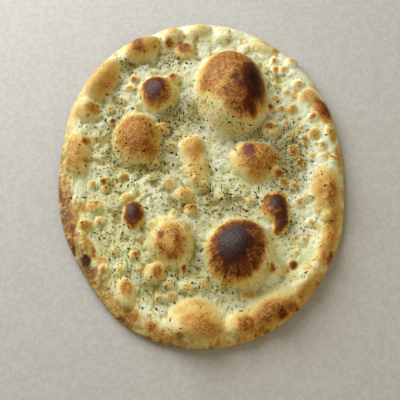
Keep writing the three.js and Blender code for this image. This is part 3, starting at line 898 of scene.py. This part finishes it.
def rim_toast(x, y):
    """Toast of the rim: its own patchy gold, and its fine char."""
    inset = inset_of(x, y)
    hot = facing(x, y, HOT_SIDE)
    charred = char_share(x, y)
    gold = between(RIM_TOAST, hot) * (1 - CHAR_COVERS * charred) * smooth(inset, between(RIM_GOLD, hot), 0)
    char = between(RIM_CHAR, charred) * smooth(fields(x, y, CHAR_PATCHES), *CHAR_RANGE)
    return np.maximum(gold * (RIM_EVEN + fields(x, y, RIM_PATCHES)), char * smooth(inset, *CHAR_BAND))


def tip_toast(x, y):
    """Toast of the tips of the dough's bumps."""
    return between(TIP_TOAST, smooth(inset_of(x, y), *TIP_BAND)) * dough_bumps(x, y)[1]


def patch_toast(x, y):
    """Toast of the mottled areas, of the browned patches with their halo, and of the blisters."""
    toast = np.zeros_like(x)
    gold = smooth(fields(x, y, GOLD_PATCHES), *GOLD_RANGE)
    for *ellipse, level in MOTTLED:
        toast = np.maximum(toast, level * smooth(away_from(x, y, *ellipse), *MOTTLED_EDGE) * gold)
    ragged = fields(x, y, RAGGED)
    for *ellipse, level, soft in BROWNING:
        away = away_from(x, y, *ellipse) + ragged / (RAGGED_OVER + max(ellipse[2:4]))
        toast = np.maximum(toast, level * smooth(away, PATCH_EDGE, PATCH_EDGE - PATCH_FADE - soft))
        toast = np.maximum(toast, HALO * smooth(away, *HALO_EDGE) * smooth(level, *HALO_RANGE))
    for *ellipse, level in BLISTERS:
        away = away_from(x, y, *ellipse) + ragged / BLISTER_OVER
        toast = np.maximum(toast, BLISTER_BROWN * level * smooth(away, *BLISTER_EDGE))
    return toast


def marked_toast(x, y, toast):
    """Toast with its pale streaks, streaks that run outwards, scratches and stretch marks."""
    for *ellipse, less in PALE_STREAKS:
        toast = toast - less * smooth(away_from(x, y, *ellipse), *PALE_EDGE)
    for at_x, at_y, half_x, half_y, strength in STREAKED:
        away = away_from(x, y, at_x, at_y, half_x, half_y)
        round_about = np.arctan2(y - at_y, x - at_x) * max(half_x, half_y)
        marks = field(round_about, STREAKED_DRAW * away, STREAKED_WIDTH, STREAKED_LAYER)
        marks = marks * smooth(away, *INNER_EDGE) * smooth(away, *OUTER_EDGE)
        toast = toast + strength * marks
    scratches = smooth(streaks(x, y, *SCRATCH_MARKS), *SCRATCH_RANGE)
    scratches = scratches * smooth(away_from(x, y, *SCRATCHED), *SCRATCH_EDGE)
    toast = toast - SCRATCH_TOAST * scratches
    return toast + STRETCH_TOAST * stretch_marks(x, y) * smooth(toast, *STRETCH_RANGE)


def toast_at(x, y):
    """How far the crust has browned: 0 is pale dough and 1 is nearly black."""
    cover = dome_cover(x, y)
    toast = np.maximum(rim_toast(x, y), SKIN_TOAST * cover)
    toast = np.maximum(toast, tip_toast(x, y) * (1 - cover))
    toast = np.maximum(toast, patch_toast(x, y))
    return np.clip(marked_toast(x, y, toast), 0, 1)


def dough_tone(x, y):
    """How far the dough is paler than elsewhere, about -0.3 to 0.5. Its slope, paler towards the north and
    east, is painted light.
    """
    return TONE_BASE + PAINTED_LIGHT_ALONG * y / LENGTH + PAINTED_LIGHT_ACROSS * x / WIDTH + shares_of(x, y, TONES)


def dough_paleness(x, y, rough):
    """How pale the dough is, from 0 in the pits between its bumps to 1 on their crests. The low values paint
    shade into the pits and into the stretch marks' grooves.
    """
    tone = dough_tone(x, y)
    pale = 1 - bumpiness(x, y) * (1 - rough / CREST) + np.clip(stretch_marks(x, y), STRETCH_SHADE, None)
    return np.clip(pale + tone * np.where(tone > 0, np.clip(TONE_LIMIT - pale, 0, 1), 1), 0, 1)


def herb_density(x, y):
    """How thickly the herbs lie, from 0 to 1."""
    thick = HERB_BASE + shares_of(x, y, HERB_DRIFTS)
    thick *= 1 - (1 - HERB_ON_DOME) * dome_cover(x, y)
    thick *= 1 - smooth(toast_at(x, y), *BARE_RANGE)
    return np.clip(thick * smooth(inset_of(x, y), *HERB_BAND), 0, 1)


# The crust's mesh


def set_places(verts, x, y, z):
    """Moves vertices to places in millimetres."""
    for vert, place in zip(verts, np.stack((x, y, z), 1) * MM):
        vert.co = place


def write_layer(bm, name, values):
    """A value at each vertex, which the crust's material reads by its name."""
    layer = bm.verts.layers.float.new(name)
    for vert, value in zip(bm.verts, values):
        vert[layer] = value


def extrude_border(bm, border, height, radius_of):
    """One more ring of faces from the border, at a height and at radii from the outline's angle."""
    grown = bmesh.ops.extrude_edge_only(bm, edges=border)["geom"]
    verts = [part for part in grown if isinstance(part, bmesh.types.BMVert)]
    angle = np.array([math.atan2(vert.co.y, vert.co.x) for vert in verts])
    radius = radius_of(edge_radius(angle))
    set_places(verts, radius * np.cos(angle), radius * np.sin(angle), np.full_like(angle, height))
    return [part for part in grown if isinstance(part, bmesh.types.BMEdge) and part.is_boundary]


def hollows(height):
    """How far each point of the grid lies below its neighbourhood, from 0 to 1. The crust's colour paints
    shade into such hollows.
    """
    around = height.reshape(GRID + 1, GRID + 1)
    for _ in range(HOLLOW_REACH):
        wide = np.pad(around, 1, mode="edge")
        around = (wide[2:, 1:-1] + wide[:-2, 1:-1] + wide[1:-1, 2:] + wide[1:-1, :-2]) / 4
    return np.clip((around.ravel() - height) / HOLLOW_DEPTH, 0, 1)


def raise_top(bm):
    """Draws the grid out to the oval, raises it to the crust's top and gives it its relief."""
    square = np.array([vert.co for vert in bm.verts])
    x, y = crowd_at_feet(*plan_of_square(square[:, 0], square[:, 1]))
    height = top_height(x, y)
    set_places(bm.verts, x, y, height)
    bm.normal_update()
    rough = dough_bumps(x, y)[0]
    for vert, distance in zip(bm.verts, relief(x, y, rough)):
        vert.co += vert.normal * distance * MM
    # The material paints shade where crest is low, in the pits between the bumps, and where hollow is high
    write_layer(bm, "crest", dough_paleness(x, y, rough))
    write_layer(bm, "hollow", hollows(height) * (1 - np.clip(dough_tone(x, y) / HOLLOW_TONE, 0, 1)))


def close_underside(bm):
    """Rings round the undercut and a flat underside."""
    border = [edge for edge in bm.edges if edge.is_boundary]
    for ring in range(1, UNDER_RINGS + 1):
        turn = math.pi / 2 * ring / UNDER_RINGS
        inward = UNDERCUT * (1 - math.cos(turn))
        height = EDGE_HEIGHT * (1 - math.sin(turn))
        border = extrude_border(bm, border, height, lambda edge: edge - inward)
    for share in FLAT_RINGS:
        border = extrude_border(bm, border, 0, lambda edge: (edge - UNDERCUT) * share)
    bmesh.ops.contextual_create(bm, geom=border)


def write_layers(bm):
    """The rest of the values that the crust's material reads."""
    x, y, _ = np.array([vert.co for vert in bm.verts]).T / MM
    under = np.array([vert.normal.z for vert in bm.verts]) < UNDER_TILT
    base = UNDER_TOAST + fields(x, y, UNDER_PATCHES)
    char = char_share(x, y) * smooth(inset_of(x, y), *CHAR_BAND)
    write_layer(bm, "toast", np.where(under, base, toast_at(x, y)))
    write_layer(bm, "herb_dust", np.where(under, 0, herb_density(x, y)))
    write_layer(bm, "pull", np.where(under, 0, pulled(x, y)))
    write_layer(bm, "warm", shares_of(x, y, WARMTH))
    write_layer(bm, "char", np.where(under, 0, char))


def crust_bmesh():
    """The closed crust, with its values for the material."""
    bm = bmesh.new()
    bmesh.ops.create_grid(bm, x_segments=GRID, y_segments=GRID, size=1)
    raise_top(bm)
    close_underside(bm)
    bmesh.ops.recalc_face_normals(bm, faces=bm.faces)
    for face in bm.faces:
        face.smooth = True
    write_layers(bm)
    return bm


# Herb flakes


def leaf_chip(length, width, thick, bend):
    """Vertices and faces of one dried leaf chip: an uneven pointed outline with a folded middle."""
    upper = [(length * a, width * b, thick * 0.5 - bend * abs(b)) for a, b in LEAF]
    lower = [(a, b, c - thick) for a, b, c in upper]
    count = len(LEAF)
    sides = [(i, i + count, (i + 1) % count + count, (i + 1) % count) for i in range(count)]
    faces = [tuple(range(count)), tuple(range(2 * count - 1, count - 1, -1)), *sides]
    return np.array(upper + lower), faces


def lay_flakes(name, tree, flakes, material):
    """Joins flakes into one mesh. Each is (x, y, length, width, yaw, tilt, bend, shade)."""
    points = []
    faces = []
    shades = []
    for x, y, length, width, yaw, tilt, bend, shade in flakes:
        place, normal, _, _ = tree.ray_cast(Vector((x * MM, y * MM, 1)), Vector((0, 0, -1)))
        if place is None:
            continue
        thick = max(FLAKE_THICKNESS * length, FLAKE_THINNEST)
        chip, chip_faces = leaf_chip(length, width, thick, bend)
        lie = Vector((0, 0, 1)).rotation_difference(normal)
        turn = lie @ Quaternion((0, 0, 1), yaw) @ Quaternion((0, 1, 0), tilt)
        matrix = np.array(turn.to_matrix())
        start = len(points) * len(chip)
        points.append((chip @ matrix.T) * MM + np.array(place + normal * thick * FLAKE_LIFT * MM))
        faces += [tuple(start + corner for corner in face) for face in chip_faces]
        shades += [shade] * len(chip)
    mesh = bpy.data.meshes.new(name)
    mesh.from_pydata(np.concatenate(points).tolist(), [], faces)
    mesh.attributes.new("shade", "FLOAT", "POINT").data.foreach_set("value", shades)
    mesh.materials.append(material)
    return add_object(name, mesh)


def big_flakes():
    """The largest flakes, spread evenly over the loaf by rule."""
    flakes = []
    for n in range(BIG_FLAKES):
        angle = 2 * math.pi * spread(n + BIG_AFTER, SPREAD_STEPS[0])
        share = FLAKE_REACH * math.sqrt(spread(n + BIG_AFTER, SPREAD_STEPS[1]))
        radius = share * float(edge_radius(angle))
        size = spread(n, SIZE_STEP)
        length = between(BIG_LENGTH, size**2)
        yaw = 2 * math.pi * spread(n, TURN_STEP)
        tilt = FLAKE_TILT * (2 * size - 1)
        place = (radius * math.cos(angle), radius * math.sin(angle))
        flakes.append((*place, length, BIG_WIDTH * length, yaw, tilt, BIG_FOLD, 1 - size))
    return flakes


def small_flakes(kind, rng):
    """Flakes drawn at random, thickest in the drifts."""
    count = SMALL_FLAKES[kind]
    tries = SMALL_TRIES * count
    x = rng.uniform(-WIDTH / 2, WIDTH / 2, tries)
    y = rng.uniform(-LENGTH / 2, LENGTH / 2, tries)
    inside = np.hypot(x, y) < FLAKE_REACH * edge_radius(np.arctan2(y, x))
    kept = np.flatnonzero(inside & (rng.uniform(0, 1, tries) < herb_density(x, y)))[:count]
    size, slim, yaw, tilt, fold, shade = rng.uniform(0, 1, (6, count))
    length = between(SMALL_LENGTH[kind], size**2)
    width = length * between(SMALL_WIDTH, slim)
    lean = FLAKE_TILT * (2 * tilt - 1)
    bend = SMALL_FOLD * length * fold
    return list(zip(x[kept], y[kept], length, width, 2 * math.pi * yaw, lean, bend, shade))


# Nodes and node groups


def linear(red, green, blue):
    """An 8-bit display colour as the linear colour that a shader takes, by the sRGB curve."""
    shares = np.array((red, green, blue)) / 255
    low = shares / 12.92
    high = ((shares + 0.055) / 1.055) ** 2.4
    return (*np.where(shares <= 0.04045, low, high).tolist(), 1.0)


def set_inputs(tree, sockets, values):
    """Sets inputs, given by name or number, to values of their own or links outputs to them."""
    for name, value in values.items():
        if isinstance(value, bpy.types.NodeSocket):
            tree.links.new(value, sockets[name])
        else:
            sockets[name].default_value = value


def node(tree, kind, inputs=None, **settings):
    """Adds a node with its settings and inputs."""
    made = tree.nodes.new(kind)
    for name, value in settings.items():
        setattr(made, name, value)
    set_inputs(tree, made.inputs, inputs or {})
    return made


def math_node(tree, operation, *values, clamp=False):
    made = node(tree, "ShaderNodeMath", dict(enumerate(values)), operation=operation, use_clamp=clamp)
    return made.outputs[0]


def times(tree, first, second):
    return math_node(tree, "MULTIPLY", first, second)


def plus(tree, first, second, clamp=False):
    return math_node(tree, "ADD", first, second, clamp=clamp)


def centred(tree, value, gain, middle=0.5):
    """A value less its middle, times a gain."""
    return math_node(tree, "MULTIPLY_ADD", value, gain, -gain * middle)


def map_range(tree, value, span, ends=(0.0, 1.0), shape="LINEAR"):
    """Takes a value from a span of its own to the values at its ends."""
    inputs = {"Value": value, "From Min": span[0], "From Max": span[1], "To Min": ends[0], "To Max": ends[1]}
    return node(tree, "ShaderNodeMapRange", inputs, interpolation_type=shape).outputs[0]


def soft_step(tree, value, start, full):
    """A soft step: 0 at start and 1 at full, which may be the smaller number."""
    return map_range(tree, value, (start, full), shape="SMOOTHSTEP")


def noise(tree, place, scale, detail):
    inputs = {"Vector": place, "Scale": scale, "Detail": detail}
    return node(tree, "ShaderNodeTexNoise", inputs).outputs["Fac"]


def cells(tree, place, scale):
    """A Voronoi pattern: distance from the middle of each cell, and the parts of its random colour."""
    made = node(tree, "ShaderNodeTexVoronoi", {"Vector": place, "Scale": scale})
    parts = node(tree, "ShaderNodeSeparateColor", {"Color": made.outputs["Color"]}).outputs
    return made.outputs["Distance"], parts


def mix_colour(tree, share, first, second):
    """The first colour where share is 0 and the second where it is 1. Display values are taken too."""
    made = node(tree, "ShaderNodeMix", data_type="RGBA")
    first, second = (linear(*colour) if isinstance(colour, tuple) else colour for colour in (first, second))
    sockets = {socket.identifier: socket for socket in made.inputs}
    set_inputs(tree, sockets, {"Factor_Float": share, "A_Color": first, "B_Color": second})
    return next(socket for socket in made.outputs if socket.identifier == "Result_Color")


def ramp(tree, value, stops):
    """A colour ramp through (place, display colour) stops."""
    made = node(tree, "ShaderNodeValToRGB", {"Fac": value})
    elements = made.color_ramp.elements
    while len(elements) < len(stops):
        elements.new(0.5)
    for element, (place, colour) in zip(elements, stops):
        element.position = place
        element.color = linear(*colour)
    return made.outputs["Color"]


def new_group(name, values, result):
    """An empty shader group: its tree, its inputs, which are a Vector and values, and its result."""
    tree = bpy.data.node_groups.new(name, "ShaderNodeTree")
    tree.interface.new_socket("Vector", in_out="INPUT", socket_type="NodeSocketVector")
    for label in values:
        tree.interface.new_socket(label, in_out="INPUT", socket_type="NodeSocketFloat")
    tree.interface.new_socket(result, in_out="OUTPUT", socket_type="NodeSocketFloat")
    return tree, node(tree, "NodeGroupInput").outputs, node(tree, "NodeGroupOutput").inputs[result]


def specks_group():
    """Scattered round dots: Mask is 1 in a dot. Share is how many cells have one."""
    tree, given, result = new_group("Specks", ("Scale", "Radius", "Share"), "Mask")
    distance, draws = cells(tree, given["Vector"], given["Scale"])
    chosen = math_node(tree, "LESS_THAN", draws[0], given["Share"])
    size = math_node(tree, "MULTIPLY_ADD", draws[1], *DOT_SIZES)
    near = math_node(tree, "SUBTRACT", times(tree, size, given["Radius"]), distance)
    dot = soft_step(tree, near, 0.0, DOT_EDGE)
    tree.links.new(times(tree, dot, chosen), result)
    return tree


def grain_group():
    """Gritty unevenness in cells of two sizes: Grain is 0 to 1, with its middle at a half."""
    tree, given, result = new_group("Grit", ("Scale",), "Grain")
    coarse = cells(tree, given["Vector"], given["Scale"])[1][0]
    finer = cells(tree, given["Vector"], times(tree, given["Scale"], FINER_GRIT))[1][0]
    tree.links.new(times(tree, plus(tree, coarse, finer), 0.5), result)
    return tree


def placed_group(tree, group, **inputs):
    """A group placed in a material, with its own values."""
    return node(tree, "ShaderNodeGroup", inputs, node_tree=group).outputs[0]


def new_material(name):
    """A material with its tree, its Principled shader's inputs and its Object coordinates."""
    material = bpy.data.materials.new(name)
    material.use_nodes = True
    tree = material.node_tree
    place = node(tree, "ShaderNodeTexCoord").outputs["Object"]
    return material, tree, tree.nodes["Principled BSDF"].inputs, place


def attribute(tree, name):
    return node(tree, "ShaderNodeAttribute", attribute_name=name).outputs["Fac"]


def bumped(tree, height, settings):
    """A normal raised by a height."""
    return node(tree, "ShaderNodeBump", {"Height": height, **settings}).outputs["Normal"]


# Materials


def crust_patterns(tree, place, grain, pull):
    """The crust's fine patterns by name. The strands lie along Y where the dough was pulled."""
    mottle = noise(tree, place, *MOTTLE)
    drawn = node(tree, "ShaderNodeMapping", {"Vector": place, "Scale": STRAND_SHAPE}).outputs[0]
    return {
        "mottle": mottle,
        "clouds": plus(tree, mottle, noise(tree, place, *CLOUD)),
        "drift": noise(tree, place, *DRIFT),
        "crumb": noise(tree, place, *CRUMB),
        "grit": placed_group(tree, grain, Vector=place, Scale=GRIT_SCALE),
        "strands": times(tree, centred(tree, noise(tree, drawn, *STRAND), 1.0), pull),
    }


def crust_browning(tree, toast, pattern):
    """Toast broken up by clouds, grit and strands where the crust has coloured, less where burnt."""
    burnt = times(tree, soft_step(tree, toast, *BURNT), BURNT_CALM)
    coloured = math_node(tree, "SUBTRACT", soft_step(tree, toast, *COLOURED), burnt)
    clouds = centred(tree, pattern["clouds"], CLOUD_BROWN, middle=1.0)
    rough = plus(tree, clouds, centred(tree, pattern["grit"], GRIT_BROWN))
    rough = plus(tree, rough, times(tree, pattern["strands"], STRAND_BROWN))
    return plus(tree, toast, times(tree, rough, coloured), clamp=True)


def dough_colour(tree, value, pattern):
    """Pale dough: palest on its bumps and yellower in drifts. It is darker under herbs, and darker and
    yellower in the pits between the bumps and in hollows, which is painted shade with some oil-soaked dough.
    """
    crest = plus(tree, value["crest"], times(tree, pattern["strands"], STRAND_PALE))
    yellow = math_node(tree, "SUBTRACT", soft_step(tree, pattern["drift"], *YELLOW_DRIFT), crest)
    yellow = plus(tree, yellow, times(tree, pattern["grit"], GRIT_YELLOW), clamp=True)
    dough = mix_colour(tree, plus(tree, yellow, value["warm"], clamp=True), CREAM, STRAW)
    # Painted shade in the pits between the bumps, where paleness is low, and gritty dust spots
    uneven = plus(tree, crest, centred(tree, pattern["mottle"], CLEFT_MOTTLE))
    gritty = times(tree, soft_step(tree, pattern["grit"], *CLEFT_GRIT), GRIT_DARK)
    cleft_shade = math_node(tree, "MAXIMUM", soft_step(tree, uneven, *CLEFT_RANGE), gritty)
    dough = mix_colour(tree, times(tree, cleft_shade, CLEFT_DARK), dough, CLEFT_SHADE)
    # Painted shade in hollows, with some oil-soaked dough
    damp_and_shade = times(tree, value["hollow"], HOLLOW_STAIN_AND_SHADE)
    dust_and_shade = plus(tree, times(tree, value["herb_dust"], DUST_STAIN), damp_and_shade, clamp=True)
    return mix_colour(tree, dust_and_shade, dough, HERB_STAIN_AND_SHADE)


def speckled(tree, colour, value, specks, place):
    """A colour with burnt dots on the browned skin and herb dust in the valleys."""
    dots = placed_group(tree, specks, Vector=place, **DOTS)
    pores = times(tree, placed_group(tree, specks, Vector=place, **PORES), PORE_DARK)
    dots = times(tree, math_node(tree, "MAXIMUM", dots, pores), soft_step(tree, value["toast"], *DOT_TOAST))
    colour = mix_colour(tree, times(tree, dots, DOT_DARK), colour, BURNT_SPECK)
    share = math_node(tree, "MULTIPLY_ADD", value["herb_dust"], *FLECK_SHARE)
    flecks = placed_group(tree, specks, Vector=place, Share=share, **FLECKS)
    flecks = times(tree, flecks, soft_step(tree, value["toast"], *FLECK_TOAST))
    return mix_colour(tree, times(tree, flecks, FLECK_DARK), colour, HERB_SPECK)


def crust_normal(tree, browned, pattern):
    """Fine relief of the skin, calmer where it has browned."""
    calm = map_range(tree, browned, CALM_TOAST, CALM_SHARES)
    height = plus(tree, pattern["mottle"], times(tree, pattern["strands"], STRAND_BUMP))
    height = plus(tree, times(tree, height, calm), pattern["crumb"])
    return bumped(tree, height, CRUST_BUMP)


def crust_material(specks, grain):
    """Baked dough: pale, browned and charred, with a little oil where it has browned."""
    material, tree, shader, place = new_material("crust")
    names = ("toast", "herb_dust", "crest", "hollow", "pull", "warm", "char")
    value = {name: attribute(tree, name) for name in names}
    pattern = crust_patterns(tree, place, grain, value["pull"])
    browned = crust_browning(tree, value["toast"], pattern)
    dough = dough_colour(tree, value, pattern)
    colour = mix_colour(tree, soft_step(tree, browned, *CRUST_RANGE), dough, ramp(tree, browned, TOASTED))
    ashy = times(tree, soft_step(tree, pattern["clouds"], *ASH_CLOUD), value["char"])
    colour = mix_colour(tree, times(tree, ashy, ASH_PALE), colour, ASH)
    finish = {
        "Base Color": speckled(tree, colour, value, specks, place),
        "Roughness": map_range(tree, browned, (0.0, 1.0), CRUST_DULL),
        "Normal": crust_normal(tree, browned, pattern),
        "Specular IOR Level": CRUST_SHINE,
    }
    set_inputs(tree, shader, finish | GLOW)
    return material


def herb_material(name, stops, grain):
    """Dried leaf: each flake has its own shade, and a fine unevenness."""
    material, tree, shader, place = new_material(name)
    fine = placed_group(tree, grain, Vector=place, Scale=HERB_GRIT)
    shade = plus(tree, attribute(tree, "shade"), centred(tree, fine, HERB_UNEVEN), clamp=True)
    finish = {
        "Base Color": ramp(tree, shade, stops),
        "Normal": bumped(tree, fine, HERB_BUMP),
        "Roughness": DRY,
        "Specular IOR Level": 0.0,
    }
    set_inputs(tree, shader, finish)
    return material


def floor_material(grain):
    """A plain pale floor with a faint grain."""
    material, tree, shader, place = new_material("floor")
    fine = placed_group(tree, grain, Vector=place, Scale=FLOOR_GRIT)
    colour = mix_colour(tree, soft_step(tree, fine, *FLOOR_RANGE), *FLOOR_TONES)
    finish = {"Base Color": colour, "Roughness": DRY, "Specular IOR Level": FLOOR_SHINE}
    set_inputs(tree, shader, finish)
    return material


# Pieces


def add_object(name, data):
    """An object of its own in the scene, at the origin."""
    made = bpy.data.objects.new(name, data)
    bpy.context.scene.collection.objects.link(made)
    return made


def mesh_object(name, bm, material):
    """An object from a bmesh, which is freed."""
    mesh = bpy.data.meshes.new(name)
    bm.to_mesh(mesh)
    bm.free()
    mesh.materials.append(material)
    return add_object(name, mesh)


def finish_piece(piece):
    """Gives a piece its body."""
    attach(piece, "root")


def make_bread(specks, grain):
    """The loaf. Returns a tree of its faces, for what is laid on it."""
    bm = crust_bmesh()
    tree = BVHTree.FromBMesh(bm)
    bread = mesh_object("bread", bm, crust_material(specks, grain))
    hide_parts("focaccia")
    finish_piece(bread)
    return tree


def make_herbs(tree, grain):
    rng = np.random.default_rng(HERB_SEED)
    dark = herb_material("herb_dark", DARK_HERB, grain)
    olive = herb_material("herb_olive", OLIVE_HERB, grain)
    flakes = big_flakes() + small_flakes("dark", rng)
    finish_piece(lay_flakes("herbs_dark", tree, flakes, dark))
    finish_piece(lay_flakes("herbs_olive", tree, small_flakes("olive", rng), olive))


# Stage, light and camera


def make_floor(grain):
    bm = bmesh.new()
    bmesh.ops.create_grid(bm, x_segments=1, y_segments=1, size=FLOOR_HALF)
    floor = mesh_object("floor", bm, floor_material(grain))
    floor.visible_glossy = False


def area_light(name, place, size, watts, colour):
    """A round lamp that faces the origin."""
    data = bpy.data.lights.new(name, "AREA")
    data.shape = "DISK"
    data.size = size
    data.energy = watts
    data.color = colour
    lamp = add_object(name, data)
    lamp.location = place
    lamp.rotation_euler = Vector(place).to_track_quat("Z", "Y").to_euler()
    return lamp


def make_light():
    """A window behind the loaf, a warm fill and a dim room. Only the window shows in reflections."""
    area_light("window", *WINDOW)
    area_light("fill", *FILL).visible_glossy = False
    world = bpy.data.worlds.new("room")
    bpy.context.scene.world = world
    world.use_nodes = True
    background = world.node_tree.nodes["Background"].inputs
    background["Color"].default_value = ROOM_COLOUR
    background["Strength"].default_value = ROOM_STRENGTH
    world.cycles_visibility.glossy = False


def make_camera():
    data = bpy.data.cameras.new("camera")
    data.lens = CAMERA_LENS
    data.sensor_width = CAMERA_SENSOR
    camera = add_object("camera", data)
    lift = math.radians(CAMERA_ELEVATION)
    back = Vector((0, -math.cos(lift), math.sin(lift)))
    camera.location = CAMERA_TARGET + back * CAMERA_DISTANCE
    camera.rotation_euler = back.to_track_quat("Z", "Y").to_euler()
    bpy.context.scene.camera = camera


specks = specks_group()
grain = grain_group()
make_herbs(make_bread(specks, grain), grain)
make_floor(grain)
make_light()
make_camera()
bpy.context.scene.view_settings.view_transform = "Standard"
